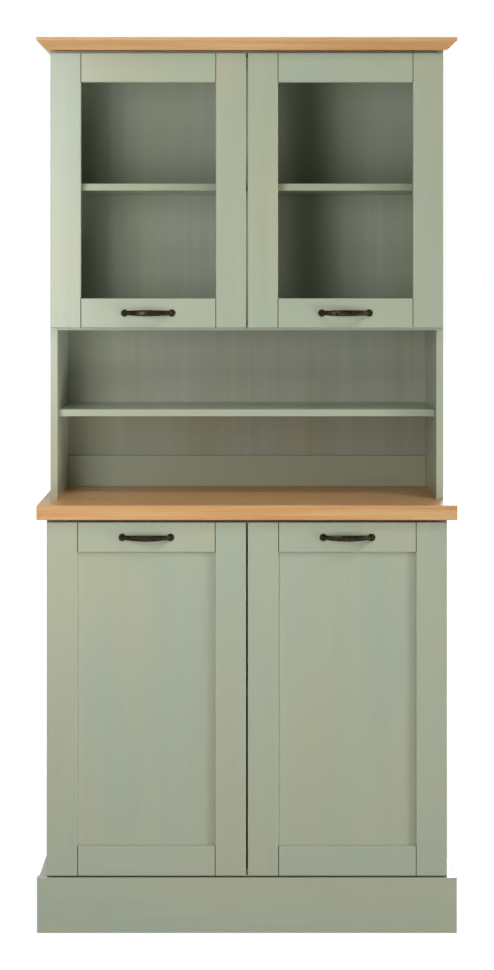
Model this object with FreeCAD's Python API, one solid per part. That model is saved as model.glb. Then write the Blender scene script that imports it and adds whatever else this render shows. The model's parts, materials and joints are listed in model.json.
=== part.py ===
import FreeCAD, Part
import math
import os

# Buffet cabinet: a base with two panelled doors, an oak countertop, and a hutch with an open
# niche below two glazed doors. Millimetres, Z up, the front faces -Y.
# The origin is on the floor, in the middle of the overall width and depth.

# Boards
board = 16.0
back_thickness = 5.0
back_setback = 1.0
rebate_width = 8.0

# Base and plinth
carcass_width = 900.0
base_depth = 430.0
base_height = 926.0
stretcher_depth = 80.0
base_shelf_rise = 384.0
base_shelf_setback = 25.0
plinth_height = 124.0
plinth_board = 16.0
plinth_end_lip = 4.0

# Oak boards
countertop_thickness = 33.0
countertop_side_overhang = 20.0
countertop_front_overhang = 15.0
oak_edge_ease = 1.5
cornice_thickness = 27.0
cornice_overhang = 28.0
cornice_edge_flat = 6.5

# Hutch
hutch_depth = 334.0
hutch_height = 1027.0
niche_height = 387.5
niche_shelf_rise = 187.5
niche_shelf_setback = 40.0
niche_rail_height = 74.0
upper_shelf_rise = 304.5
upper_shelf_setback = 20.0
shelf_side_play = 0.5

# Shelf pins and dowels
pin_radius = 2.5
pin_hole_depth = 9.0
pin_tongue_length = 12.0
pin_tongue_width = 9.0
pin_tongue_thickness = 2.0
pin_inset = 45.0
dowel_radius = 4.0
dowel_length = 40.0
dowel_inset = 60.0
hole_play = 0.1

# Doors
door_thickness = 18.0
door_standoff = 2.0
door_side_inset = 2.0
door_meeting_gap = 4.0
lower_door_bottom_gap = 4.0
lower_door_top_gap = 6.5
upper_door_bottom_reveal = 6.3
upper_door_top_gap = 6.0
stile_width = 69.0
rail_width = 67.0
groove_depth = 8.0
panel_thickness = 6.0
panel_recess = 7.0
panel_play = 1.0
glass_thickness = 4.0
frame_chamfer = 1.2
door_edge_ease = 1.0
joint_groove = 0.9
joint_groove_depth = 2.0

# Bow handles
handle_length = 125.0
handle_projection = 26.0
rosette_radius = 8.5
rosette_thickness = 3.0
rosette_dome = 1.5
grip_thickness = 5.0
grip_height = 14.0
grip_end_height = 10.0

# Concealed hinges, two to a door. Each has a cup in the stile, a curved link and a fixed arm
hinge_end_distance = 100.0
cup_radius = 17.5
cup_depth = 12.0
cup_wall = 1.5
cup_floor = 1.0
cup_edge_distance = 22.0
flange_thickness = 1.2
flange_lip = 1.5
flange_ear_width = 11.0
flange_ear_span = 58.0
cup_pin_edge_distance = 9.0
cup_pin_depth = 4.0
arm_pin_reach = 16.0
arm_pin_depth = 2.0
hinge_pin_radius = 1.0
hinge_pin_play = 0.35
knuckle_wall = 0.7
link_thickness = 2.5
link_width = 7.4
link_sag = 7.4
arm_width = 14.0
arm_lift = 3.0
arm_height = 10.0
arm_neck = 12.0
arm_length = 48.0
arm_knuckle_radius = 3.0
arm_slot_play = 0.4
arm_slot_depth = 3.6
wing_length = 22.0
wing_span = 56.0
wing_back = 52.0

# Door bumpers
bumper_radius = 4.0
bumper_play = 0.3
bumper_inset = 40.0

# One overrun for every cut that runs out through a face
overrun = 2.0

# Flat sides of the round pieces: pins and holes, and the larger cups and rosettes
small_sides = 10
large_sides = 20

# Places worked out from the sizes above
half_width = carcass_width / 2
inner_half = half_width - board
total_depth = handle_projection + door_thickness + door_standoff + base_depth
back_y = total_depth / 2
base_front_y = back_y - base_depth
hutch_front_y = back_y - hutch_depth
panel_back_y = back_y - back_setback
panel_front_y = panel_back_y - back_thickness
countertop_bottom_z = base_height
hutch_bottom_z = base_height + countertop_thickness
hutch_top_z = hutch_bottom_z + hutch_height
upper_floor_z = hutch_bottom_z + niche_height
door_outer_x = -half_width + door_side_inset
door_inner_x = -door_meeting_gap / 2

os.makedirs("parts", exist_ok=True)


def vec(x, y, z):
    return FreeCAD.Vector(x, y, z)


def block(x0, x1, y0, y1, z0, z1):
    """A box between two corners."""
    return Part.makeBox(x1 - x0, y1 - y0, z1 - z0, vec(x0, y0, z0))


def prism(points, direction):
    """Extrude a closed outline of straight sides along a direction."""
    return Part.Face(Part.makePolygon(points + points[:1])).extrude(direction)


def ring(centre, across, up, radius, sides):
    """The corners of a regular outline in the plane of two directions."""
    turns = [2 * math.pi * (i + 0.5) / sides for i in range(sides)]
    return [centre + across * (radius * math.cos(t)) + up * (radius * math.sin(t)) for t in turns]


def upright_rod(x, y, z0, z1, radius, sides=small_sides):
    """A round bar with flat sides: what repeats keeps few faces."""
    corners = ring(vec(x, y, z0), vec(1, 0, 0), vec(0, 1, 0), radius, sides)
    return prism(corners, vec(0, 0, z1 - z0))


def rod_along_x(x0, x1, y, z, radius, sides=small_sides):
    corners = ring(vec(x0, y, z), vec(0, 1, 0), vec(0, 0, 1), radius, sides)
    return prism(corners, vec(x1 - x0, 0, 0))


def rod_along_y(x, y0, y1, z, radius, sides=large_sides):
    corners = ring(vec(x, y0, z), vec(0, 0, 1), vec(1, 0, 0), radius, sides)
    return prism(corners, vec(0, y1 - y0, 0))


def mirrored(shape):
    """The same piece on the other side of the cabinet."""
    return shape.mirror(vec(0, 0, 0), vec(1, 0, 0))


def export(name, shape):
    shape.exportStep("parts/" + name + ".step")


def export_pair(name, left):
    export(name + "_left", left)
    export(name + "_right", mirrored(left))


# Carcass boards

def side_board(front_y, z0, z1):
    """A side board with a rebate at the back for the back panel."""
    side = block(-half_width, -inner_half, front_y, back_y, z0, z1)
    rebate = block(-inner_half - rebate_width, -inner_half + overrun,
                   panel_front_y, back_y + overrun, z0 - overrun, z1 + overrun)
    return side.cut(rebate)


def cross_board(front_y, z0, thickness):
    """A board between the sides, up to the back panel."""
    return block(-inner_half, inner_half, front_y, panel_front_y, z0, z0 + thickness)


def back_panel(z0, z1):
    """A thin panel in the sides' rebates, set in a little from the back of the cabinet."""
    reach = inner_half + rebate_width
    return block(-reach, reach, panel_front_y, panel_back_y, z0, z1)


def pin_places(front_y):
    return [front_y + pin_inset, panel_front_y - pin_inset]


def shelf_pin_holes(side, front_y, shelf_z):
    """Bore the holes of one shelf's pins into a side board."""
    for y in pin_places(front_y):
        hole = rod_along_x(-inner_half - pin_hole_depth, -inner_half + overrun,
                           y, shelf_z - pin_radius, pin_radius + hole_play)
        side = side.cut(hole)
    return side


def shelf_pin(y, shelf_z):
    """A round peg with a flat tongue that the shelf lies on."""
    peg = rod_along_x(-inner_half - pin_hole_depth, -inner_half + pin_tongue_length,
                      y, shelf_z - pin_radius, pin_radius)
    tongue = block(-inner_half, -inner_half + pin_tongue_length,
                   y - pin_tongue_width / 2, y + pin_tongue_width / 2,
                   shelf_z - pin_tongue_thickness, shelf_z)
    return peg.fuse(tongue).removeSplitter()


def shelf(front_y, z0):
    """A loose shelf, a little narrower than the space between the sides."""
    reach = inner_half - shelf_side_play
    return block(-reach, reach, front_y, panel_front_y - shelf_side_play, z0, z0 + board)


def dowel_places():
    x = -half_width + board / 2
    return [(x, hutch_front_y + dowel_inset), (x, panel_front_y - dowel_inset)]


def bore_dowels(shape):
    """Bore the dowel holes of both hutch sides into a board."""
    reach = dowel_length / 2 + hole_play
    for x, y in dowel_places():
        hole = upright_rod(x, y, hutch_bottom_z - reach, hutch_bottom_z + reach,
                           dowel_radius + hole_play)
        shape = shape.cut(hole).cut(mirrored(hole))
    return shape


def dowels():
    rods = []
    for x, y in dowel_places():
        rod = upright_rod(x, y, hutch_bottom_z - dowel_length / 2,
                          hutch_bottom_z + dowel_length / 2, dowel_radius)
        rods += [rod, mirrored(rod)]
    return Part.Compound(rods)


# Oak boards

def eased_board(x_reach, y0, y1, z0, z1, ease):
    """A board whose front and end edges are eased top and bottom."""
    shape = block(-x_reach, x_reach, y0, y1, z0, z1)
    edges = []
    for edge in shape.Edges:
        low, high = edge.BoundBox, edge.BoundBox
        level = low.ZMax - low.ZMin < ease
        at_front = high.YMax < y0 + ease
        at_end = low.YMax - low.YMin > ease
        if level and (at_front or at_end):
            edges.append(edge)
    return shape.makeChamfer(ease, edges)


def countertop():
    x_reach = half_width + countertop_side_overhang
    front = base_front_y - door_standoff - door_thickness - countertop_front_overhang
    top = eased_board(x_reach, front, back_y, countertop_bottom_z, hutch_bottom_z, oak_edge_ease)
    return bore_dowels(top)


def cornice():
    """The top oak board. A bevel runs under its front and its two ends."""
    x_reach = half_width + cornice_overhang
    front = hutch_front_y - door_standoff - door_thickness - cornice_overhang
    bevel = cornice_thickness - cornice_edge_flat
    z1 = hutch_top_z + cornice_thickness
    shape = block(-x_reach, x_reach, front, back_y, hutch_top_z, z1)
    under_front = prism([vec(-x_reach - overrun, front, hutch_top_z),
                         vec(-x_reach - overrun, front + bevel, hutch_top_z),
                         vec(-x_reach - overrun, front, hutch_top_z + bevel)],
                        vec(2 * (x_reach + overrun), 0, 0))
    under_end = prism([vec(-x_reach, front - overrun, hutch_top_z),
                       vec(-x_reach + bevel, front - overrun, hutch_top_z),
                       vec(-x_reach, front - overrun, hutch_top_z + bevel)],
                      vec(0, back_y - front + 2 * overrun, 0))
    return shape.cut(under_front).cut(under_end).cut(mirrored(under_end))


# Doors. Each left door is drawn and its right twin is its mirror image

def opening_cutter(x0, x1, y_front, z0, z1):
    """The opening of a door frame with the chamfer round its front edge."""
    def outline(grow, y):
        return Part.makePolygon([vec(x0 - grow, y, z0 - grow), vec(x1 + grow, y, z0 - grow),
                                 vec(x1 + grow, y, z1 + grow), vec(x0 - grow, y, z1 + grow),
                                 vec(x0 - grow, y, z0 - grow)])
    ahead = outline(frame_chamfer + overrun, y_front - overrun)
    behind = outline(0, y_front + frame_chamfer)
    return Part.makeLoft([ahead, behind], True, True)


def eased_slab(x0, x1, y0, y1, z0, z1):
    """The outer form of a door, eased round its front edge."""
    slab = block(x0, x1, y0, y1, z0, z1)
    front_edges = [edge for edge in slab.Edges if edge.BoundBox.YMax < y0 + door_edge_ease]
    return slab.makeChamfer(door_edge_ease, front_edges)


def joint_line(x, y_front, z0, z1):
    """The fine V that shows where a rail meets a stile."""
    return prism([vec(x - joint_groove, y_front, z0), vec(x + joint_groove, y_front, z0),
                  vec(x, y_front + joint_groove_depth, z0)], vec(0, 0, z1 - z0))


def door_members(z0, z1, carcass_front, glazed):
    """Two stiles and two rails, joined by stub tenons in the grooves of the stiles."""
    y1 = carcass_front - door_standoff
    y0 = y1 - door_thickness
    xa, xb = door_outer_x, door_inner_x
    groove_y0 = y0 + panel_recess
    groove_y1 = groove_y0 + panel_thickness
    open_x0, open_x1 = xa + stile_width, xb - stile_width
    open_z0, open_z1 = z0 + rail_width, z1 - rail_width
    slab = eased_slab(xa, xb, y0, y1, z0, z1)
    cutter = opening_cutter(open_x0, open_x1, y0, open_z0, open_z1)
    groove = block(open_x0 - groove_depth, open_x1 + groove_depth, groove_y0, groove_y1,
                   open_z0 - groove_depth, open_z1 + groove_depth)
    if glazed:
        groove = groove.fuse(block(open_x0 - groove_depth, open_x1 + groove_depth,
                                   groove_y0, y1 + overrun,
                                   open_z0 - groove_depth, open_z1 + groove_depth))
    lines = []
    for x in (open_x0, open_x1):
        lines.append(joint_line(x, y0, z0 - overrun, open_z0))
        lines.append(joint_line(x, y0, open_z1, z1 + overrun))

    def finished(shape):
        shape = shape.common(slab).cut(cutter).cut(groove)
        for line in lines:
            shape = shape.cut(line)
        return shape

    def stile(x0, x1):
        mortise = block(open_x0 - groove_depth, open_x1 + groove_depth, groove_y0, groove_y1,
                        z0 - overrun, z1 + overrun)
        return finished(block(x0, x1, y0, y1, z0, z1).cut(mortise))

    def rail(low, high):
        body = block(open_x0, open_x1, y0, y1, low, high)
        tenons = block(open_x0 - groove_depth, open_x1 + groove_depth, groove_y0, groove_y1,
                       low, high)
        return finished(body.fuse(tenons))

    return {
        "hinge_stile": stile(xa, open_x0),
        "free_stile": stile(open_x1, xb),
        "bottom_rail": rail(z0, open_z0),
        "top_rail": rail(open_z1, z1),
    }


def infill(z0, z1, carcass_front, thickness):
    """The panel or the glass, loose in its groove by the panel play all round."""
    y0 = carcass_front - door_standoff - door_thickness + panel_recess
    reach = groove_depth - panel_play
    return block(door_outer_x + stile_width - reach, door_inner_x - stile_width + reach,
                 y0, y0 + thickness, z0 + rail_width - reach, z1 - rail_width + reach)


def glazing_beads(z0, z1, carcass_front):
    """Four strips in the rebate behind the glass, as wide as the rebate is deep."""
    y1 = carcass_front - door_standoff
    y0 = y1 - door_thickness + panel_recess + glass_thickness
    x0, x1 = door_outer_x + stile_width - groove_depth, door_inner_x - stile_width + groove_depth
    za, zb = z0 + rail_width - groove_depth, z1 - rail_width + groove_depth
    inner_x0, inner_x1 = x0 + groove_depth, x1 - groove_depth
    return Part.Compound([
        block(x0, inner_x0, y0, y1, za, zb),
        block(inner_x1, x1, y0, y1, za, zb),
        block(inner_x0, inner_x1, y0, y1, za, za + groove_depth),
        block(inner_x0, inner_x1, y0, y1, zb - groove_depth, zb)])


# Bow handle, across the middle of a rail

def arc_edge(start, middle, end):
    return Part.Arc(start, middle, end).toShape()


def bow_handle(door_z, carcass_front):
    x = (door_outer_x + door_inner_x) / 2
    y = carcass_front - door_standoff - door_thickness
    z = door_z
    half = handle_length / 2 - rosette_radius
    seat = y - rosette_thickness
    inner_half_span = half - grip_thickness
    outer = arc_edge(vec(x - half, seat, z - grip_height), vec(x, y - handle_projection, z - grip_height),
                     vec(x + half, seat, z - grip_height))
    inner = arc_edge(vec(x + inner_half_span, seat, z - grip_height),
                     vec(x, y - handle_projection + grip_thickness, z - grip_height),
                     vec(x - inner_half_span, seat, z - grip_height))
    foot_a = Part.makeLine(vec(x + half, seat, z - grip_height),
                           vec(x + inner_half_span, seat, z - grip_height))
    foot_b = Part.makeLine(vec(x - inner_half_span, seat, z - grip_height),
                           vec(x - half, seat, z - grip_height))
    bow = Part.Face(Part.Wire([outer, foot_a, inner, foot_b])).extrude(vec(0, 0, 2 * grip_height))
    front = y - handle_projection - overrun
    top = arc_edge(vec(x - half, front, z + grip_end_height / 2), vec(x, front, z + grip_height / 2),
                   vec(x + half, front, z + grip_end_height / 2))
    end_a = Part.makeLine(vec(x + half, front, z + grip_end_height / 2),
                          vec(x + half, front, z - grip_end_height / 2))
    bottom = arc_edge(vec(x + half, front, z - grip_end_height / 2), vec(x, front, z - grip_height / 2),
                      vec(x - half, front, z - grip_end_height / 2))
    end_b = Part.makeLine(vec(x - half, front, z - grip_end_height / 2),
                          vec(x - half, front, z + grip_end_height / 2))
    spindle = Part.Face(Part.Wire([top, end_a, bottom, end_b]))
    grip = bow.common(spindle.extrude(vec(0, handle_projection + 2 * overrun, 0)))
    handle = grip
    for foot_x in (x - half, x + half):
        disc = rod_along_y(foot_x, seat, y, z, rosette_radius)
        rim = ring(vec(foot_x, seat, z), vec(0, 0, 1), vec(1, 0, 0), rosette_radius, large_sides)
        crown = ring(vec(foot_x, seat - rosette_dome, z), vec(0, 0, 1), vec(1, 0, 0),
                     rosette_radius - 2 * rosette_dome, large_sides)
        dome = Part.makeLoft([Part.makePolygon(rim + rim[:1]),
                              Part.makePolygon(crown + crown[:1])], True, True)
        handle = handle.fuse(disc).fuse(dome)
    return handle.removeSplitter()


# Concealed hinges. Their drawing plane is seen from above, at the height of the hinge

def cup_pin(carcass_front):
    y = carcass_front - door_standoff - cup_pin_depth
    return vec(door_outer_x + cup_pin_edge_distance, y, 0)


def arm_pin(carcass_front):
    return vec(-inner_half + arm_pin_reach, carcass_front + arm_pin_depth, 0)


def hinge_cup(z, carcass_front):
    """A round cup with a thin flange on the stile's back, and the pin across its mouth."""
    back = carcass_front - door_standoff
    x = door_outer_x + cup_edge_distance
    outer = cup_radius - hole_play
    cup = rod_along_y(x, back - cup_depth, back, z, outer)
    flange = rod_along_y(x, back, back + flange_thickness, z, outer + flange_lip)
    ears = block(x - flange_ear_width / 2, x + flange_ear_width / 2, back,
                 back + flange_thickness, z - flange_ear_span / 2, z + flange_ear_span / 2)
    inner = outer - cup_wall
    hollow = rod_along_y(x, back - cup_depth + cup_floor, back + flange_thickness + overrun,
                         z, inner)
    pin = cup_pin(carcass_front)
    offset = x - pin.x
    reach = math.sqrt((inner + cup_wall / 2) ** 2 - offset ** 2)
    rod = upright_rod(pin.x, pin.y, z - reach, z + reach, hinge_pin_radius)
    return cup.fuse(flange).fuse(ears).cut(hollow).fuse(rod).removeSplitter()


def cup_bore(z, carcass_front):
    back = carcass_front - door_standoff
    return rod_along_y(door_outer_x + cup_edge_distance, back - cup_depth, back + overrun,
                       z, cup_radius)


def hinge_link(z, carcass_front):
    """A curved strap that dips into the cup and clears the door's edge when the door is open."""
    a, b = arm_pin(carcass_front), cup_pin(carcass_front)
    chord = b - a
    across = vec(chord.y, -chord.x, 0).normalize()
    if across.y > 0:
        across = across * -1
    half = chord.Length / 2
    radius = (half ** 2 + link_sag ** 2) / (2 * link_sag)
    middle = (a + b) * 0.5
    centre = middle + across * (link_sag - radius)

    def curve(r):
        start = centre + (a - centre).normalize() * r
        end = centre + (b - centre).normalize() * r
        return start, centre + across * r, end

    low = vec(0, 0, z - link_width / 2)
    o0, om, o1 = [p + low for p in curve(radius + link_thickness / 2)]
    i0, im, i1 = [p + low for p in curve(radius - link_thickness / 2)]
    outline = Part.Wire([arc_edge(o0, om, o1), Part.makeLine(o1, i1),
                         arc_edge(i1, im, i0), Part.makeLine(i0, o0)])
    link = Part.Face(outline).extrude(vec(0, 0, link_width))
    hole = hinge_pin_radius + hinge_pin_play
    z0, z1 = z - link_width / 2, z + link_width / 2
    for p in (a, b):
        link = link.fuse(upright_rod(p.x, p.y, z0, z1, hole + knuckle_wall))
    for p in (a, b):
        link = link.cut(upright_rod(p.x, p.y, z0 - overrun, z1 + overrun, hole))
    return link


def hinge_arm(z, carcass_front):
    """A wing plate on the side board with an arm that reaches forward to the link's pin."""
    a = arm_pin(carcass_front)
    wall = -inner_half
    low, high = z - arm_width / 2, z + arm_width / 2
    bar = block(wall, wall + arm_lift + arm_height, carcass_front + arm_neck,
                carcass_front + arm_neck + arm_length, low, high)
    neck = prism([vec(wall + arm_lift, carcass_front + arm_neck, low),
                  vec(wall + arm_lift + arm_height, carcass_front + arm_neck, low),
                  vec(a.x + arm_knuckle_radius, a.y, low),
                  vec(a.x, a.y - arm_knuckle_radius, low),
                  vec(a.x - arm_knuckle_radius, a.y, low)], vec(0, 0, arm_width))
    knuckle = upright_rod(a.x, a.y, low, high, arm_knuckle_radius)
    slot_half = link_width / 2 + arm_slot_play
    slot = block(wall, a.x + arm_knuckle_radius + overrun,
                 a.y - arm_knuckle_radius - overrun, a.y + arm_slot_depth,
                 z - slot_half, z + slot_half)
    pin = upright_rod(a.x, a.y, low, high, hinge_pin_radius)
    wing = block(wall, wall + arm_lift, carcass_front + wing_back - wing_length / 2,
                 carcass_front + wing_back + wing_length / 2, z - wing_span / 2, z + wing_span / 2)
    return bar.fuse(neck).fuse(knuckle).cut(slot).fuse(pin).fuse(wing).removeSplitter()


def hinge_heights(z0, z1):
    return [z0 + hinge_end_distance, z1 - hinge_end_distance]


# Bumpers between the boards' front edges and the doors

def bumper_pair(z, carcass_front):
    back = carcass_front - door_standoff
    dot = rod_along_y(-bumper_inset, back + bumper_play, carcass_front, z, bumper_radius,
                      small_sides)
    return [dot, mirrored(dot)]


# Heights of the doors and the shelves
lower_z0 = plinth_height + lower_door_bottom_gap
lower_z1 = base_height - lower_door_top_gap
upper_z0 = upper_floor_z + upper_door_bottom_reveal
upper_z1 = hutch_top_z - upper_door_top_gap
base_shelf_z = plinth_height + board + base_shelf_rise
niche_shelf_z = hutch_bottom_z + niche_shelf_rise
upper_shelf_z = upper_floor_z + board + upper_shelf_rise
base_shelf_y = base_front_y + base_shelf_setback
niche_shelf_y = hutch_front_y + niche_shelf_setback
upper_shelf_y = hutch_front_y + upper_shelf_setback

# Base
base_side = side_board(base_front_y, 0, base_height)
base_side = shelf_pin_holes(base_side, base_shelf_y, base_shelf_z)
export_pair("base_side", base_side)
export("base_bottom", cross_board(base_front_y, plinth_height, board))
stretcher_z = base_height - board
export("base_stretcher_front", block(-inner_half, inner_half, base_front_y,
                                     base_front_y + stretcher_depth, stretcher_z, base_height))
export("base_stretcher_back", block(-inner_half, inner_half, panel_front_y - stretcher_depth,
                                    panel_front_y, stretcher_z, base_height))
export("base_back_panel", back_panel(plinth_height, base_height))
export("base_shelf", shelf(base_shelf_y, base_shelf_z))

# Plinth. Its front board fills the depth between the carcass and the front of the doors
plinth_front_y = base_front_y - door_standoff - door_thickness
plinth_reach = half_width + plinth_board + plinth_end_lip
plinth_front = block(-plinth_reach, plinth_reach, plinth_front_y, base_front_y, 0, plinth_height)
export("plinth_front", plinth_front)
export_pair("plinth_side", block(-half_width - plinth_board, -half_width,
                                 base_front_y, back_y, 0, plinth_height))

# Countertop and hutch
export("countertop", countertop())
hutch_side = side_board(hutch_front_y, hutch_bottom_z, hutch_top_z)
hutch_side = shelf_pin_holes(hutch_side, niche_shelf_y, niche_shelf_z)
hutch_side = shelf_pin_holes(hutch_side, upper_shelf_y, upper_shelf_z)
export_pair("hutch_side", bore_dowels(hutch_side))
export("hutch_bottom", cross_board(hutch_front_y, upper_floor_z, board))
export("hutch_top", cross_board(hutch_front_y, hutch_top_z - board, board))
export("hutch_back_panel", back_panel(hutch_bottom_z, hutch_top_z))
export("niche_shelf", shelf(niche_shelf_y, niche_shelf_z))
export("upper_shelf", shelf(upper_shelf_y, upper_shelf_z))
export("niche_back_rail", block(-inner_half, inner_half, panel_front_y - board, panel_front_y,
                                hutch_bottom_z, hutch_bottom_z + niche_rail_height))
export("cornice", cornice())
export("hutch_dowels", dowels())

# Shelf pins, four to a shelf
pins = []
for front_y, shelf_z in ((base_shelf_y, base_shelf_z), (niche_shelf_y, niche_shelf_z),
                         (upper_shelf_y, upper_shelf_z)):
    for y in pin_places(front_y):
        pin = shelf_pin(y, shelf_z)
        pins += [pin, mirrored(pin)]
export("shelf_pins", Part.Compound(pins))

# Doors and their hinges
arms = []
for level, z0, z1, front_y in (("lower", lower_z0, lower_z1, base_front_y),
                               ("upper", upper_z0, upper_z1, hutch_front_y)):
    glazed = level == "upper"
    members = door_members(z0, z1, front_y, glazed)
    for z in hinge_heights(z0, z1):
        members["hinge_stile"] = members["hinge_stile"].cut(cup_bore(z, front_y))
    for name, shape in members.items():
        export_pair(level + "_" + name, shape)
    if glazed:
        export_pair("upper_glass", infill(z0, z1, front_y, glass_thickness))
        export_pair("upper_glazing_beads", glazing_beads(z0, z1, front_y))
        handle_z = z0 + rail_width / 2
    else:
        export_pair("lower_panel", infill(z0, z1, front_y, panel_thickness))
        handle_z = z1 - rail_width / 2
    export_pair(level + "_handle", bow_handle(handle_z, front_y))
    heights = hinge_heights(z0, z1)
    export_pair(level + "_hinge_cups", Part.Compound([hinge_cup(z, front_y) for z in heights]))
    export_pair(level + "_hinge_links", Part.Compound([hinge_link(z, front_y) for z in heights]))
    for z in heights:
        arm = hinge_arm(z, front_y)
        arms += [arm, mirrored(arm)]
export("hinge_arms", Part.Compound(arms))

# Bumpers, on the front edges of the boards at the top and bottom of each pair of doors
bumpers = []
bumpers += bumper_pair(lower_z0 + (plinth_height + board - lower_z0) / 2, base_front_y)
bumpers += bumper_pair((stretcher_z + lower_z1) / 2, base_front_y)
bumpers += bumper_pair((upper_z0 + upper_floor_z + board) / 2, hutch_front_y)
bumpers += bumper_pair((hutch_top_z - board + upper_z1) / 2, hutch_front_y)
export("door_bumpers", Part.Compound(bumpers))

for label, front_y in (("lower", base_front_y), ("upper", hutch_front_y)):
    a, b = arm_pin(front_y), cup_pin(front_y)
    print(label, "door: arm pin", round(a.x, 3), round(a.y, 3), "cup pin", round(b.x, 3), round(b.y, 3))
print("height", hutch_top_z + cornice_thickness, "depth", total_depth,
      "width", 2 * (half_width + cornice_overhang))
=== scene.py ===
# %% [markdown]
# A painted pine buffet cabinet with two oak boards.
# The real piece is a base cupboard with two panelled doors, an oak countertop, and a hutch that
# stands on it: an open niche below, and a glazed cupboard above under a bevelled oak top.
# The construction comes as a finished frame of boards, doors, hinges and pins, at their real size.
# This lesson gives those boards their finishes and eased edges, and adds the handles, the screws
# and the small nails, which are too fine to be drawn with the construction.

# %% The frame of boards
import json
import math
import random

import bmesh
import bpy
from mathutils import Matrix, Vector


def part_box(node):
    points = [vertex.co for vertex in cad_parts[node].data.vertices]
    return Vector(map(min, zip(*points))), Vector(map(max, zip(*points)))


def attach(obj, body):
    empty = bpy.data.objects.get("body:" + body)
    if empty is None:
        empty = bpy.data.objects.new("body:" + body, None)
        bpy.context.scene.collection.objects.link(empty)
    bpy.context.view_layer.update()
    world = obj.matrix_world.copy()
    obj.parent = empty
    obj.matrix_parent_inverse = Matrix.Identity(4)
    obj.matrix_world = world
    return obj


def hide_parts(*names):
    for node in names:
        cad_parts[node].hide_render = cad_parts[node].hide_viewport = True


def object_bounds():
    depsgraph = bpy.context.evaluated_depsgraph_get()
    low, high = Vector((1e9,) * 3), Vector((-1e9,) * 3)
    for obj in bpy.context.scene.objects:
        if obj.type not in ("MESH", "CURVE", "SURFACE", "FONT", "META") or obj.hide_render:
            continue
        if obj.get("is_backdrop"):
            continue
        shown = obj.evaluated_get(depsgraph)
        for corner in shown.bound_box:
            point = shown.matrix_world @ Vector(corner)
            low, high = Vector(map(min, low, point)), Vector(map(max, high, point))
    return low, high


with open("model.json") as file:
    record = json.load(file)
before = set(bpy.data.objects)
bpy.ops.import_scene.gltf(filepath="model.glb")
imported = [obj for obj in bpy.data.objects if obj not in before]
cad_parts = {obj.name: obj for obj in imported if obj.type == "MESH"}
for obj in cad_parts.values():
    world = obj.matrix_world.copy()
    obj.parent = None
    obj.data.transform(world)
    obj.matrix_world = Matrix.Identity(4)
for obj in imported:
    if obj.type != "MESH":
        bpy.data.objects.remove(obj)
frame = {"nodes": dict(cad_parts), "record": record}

cad_low, cad_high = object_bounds()
nodes = frame["nodes"]
slot_of = {part["node"]: part["material_slot"] for part in frame["record"]["subparts"]}
body_of = {node: body for body, members in frame["record"]["behaviour"]["bodies"].items()
           for node in members}
print(len(nodes), "nodes in a box of", [round(v * 1000) for v in cad_high - cad_low], "mm")

# %% [markdown]
# The camera. Upright edges stay parallel in the picture, so the camera looks level, and the lens
# is shifted down instead of tilted, as on a view camera. The eye stands at the height where the
# tops of the boards turn into their undersides, a little above the niche shelf.
# The lens could be guessed and corrected by eye. Here it is worked out: how many pixels a metre
# takes at the front of the lower doors, and how far in front of them the camera stands.

# %% Camera
photo_width, photo_height = 494, 970
vanishing_x, eye_level_y = 246.9, 268.0
door_pixels_per_metre = 446.65
camera_distance = 5.0
eye_height = 1.489
sensor_side = 36.0


def level_camera(front_y):
    data = bpy.data.cameras.new("level_camera")
    data.sensor_width = sensor_side
    data.lens = sensor_side * camera_distance * door_pixels_per_metre / photo_height
    data.shift_x = (photo_width / 2 - vanishing_x) / photo_height
    data.shift_y = (eye_level_y - photo_height / 2) / photo_height
    made = bpy.data.objects.new("level_camera", data)
    made.location = (0, front_y - camera_distance, eye_height)
    made.rotation_euler = (math.radians(90), 0, 0)
    bpy.context.scene.collection.objects.link(made)
    return made


lower_door_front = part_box("lower_free_stile_left")[0].y
bpy.context.scene.camera = level_camera(lower_door_front)
bpy.context.scene.view_settings.view_transform = "Standard"
print("lens", round(bpy.context.scene.camera.data.lens, 1), "mm")

# %% [markdown]
# Nodes. A material or a geometry tree is a list of nodes with settings and links, so one small
# helper that adds a node with both keeps the trees below as short as their recipes.
# Colours are written as they look on a screen, in hex, and turned to linear light once.

# %% Two helpers
def add(tree, kind, inputs=None, **settings):
    """Adds a node. An input is a plain value, or the socket that feeds it."""
    made = tree.nodes.new(kind)
    for name, value in settings.items():
        setattr(made, name, value)
    for name, value in (inputs or {}).items():
        if isinstance(value, bpy.types.NodeSocket):
            tree.links.new(value, made.inputs[name])
        else:
            made.inputs[name].default_value = value
    return made


def colour(code):
    """The linear colour for an sRGB hex code."""
    shares = [int(code[i:i + 2], 16) / 255 for i in (0, 2, 4)]
    linear = [s / 12.92 if s <= 0.04045 else ((s + 0.055) / 1.055) ** 2.4 for s in shares]
    return (*linear, 1.0)


MIX_FACTOR, MIX_A, MIX_B, MIX_RESULT = 0, 6, 7, 2


def blend_colours(tree, factor, first, second):
    """The socket of a colour between two others."""
    made = add(tree, "ShaderNodeMix", {MIX_FACTOR: factor, MIX_A: first, MIX_B: second},
               data_type="RGBA")
    return made.outputs[MIX_RESULT]


def new_material(name):
    """An empty material with its tree, its output and a Principled shader."""
    made = bpy.data.materials.new(name)
    made.use_nodes = True
    tree = made.node_tree
    tree.nodes.clear()
    output = add(tree, "ShaderNodeOutputMaterial")
    shader = add(tree, "ShaderNodeBsdfPrincipled")
    tree.links.new(shader.outputs["BSDF"], output.inputs["Surface"])
    return made, tree, shader, output


print("sage on screen is", [round(c, 3) for c in colour("A5AC94")[:3]], "in linear light")

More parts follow.
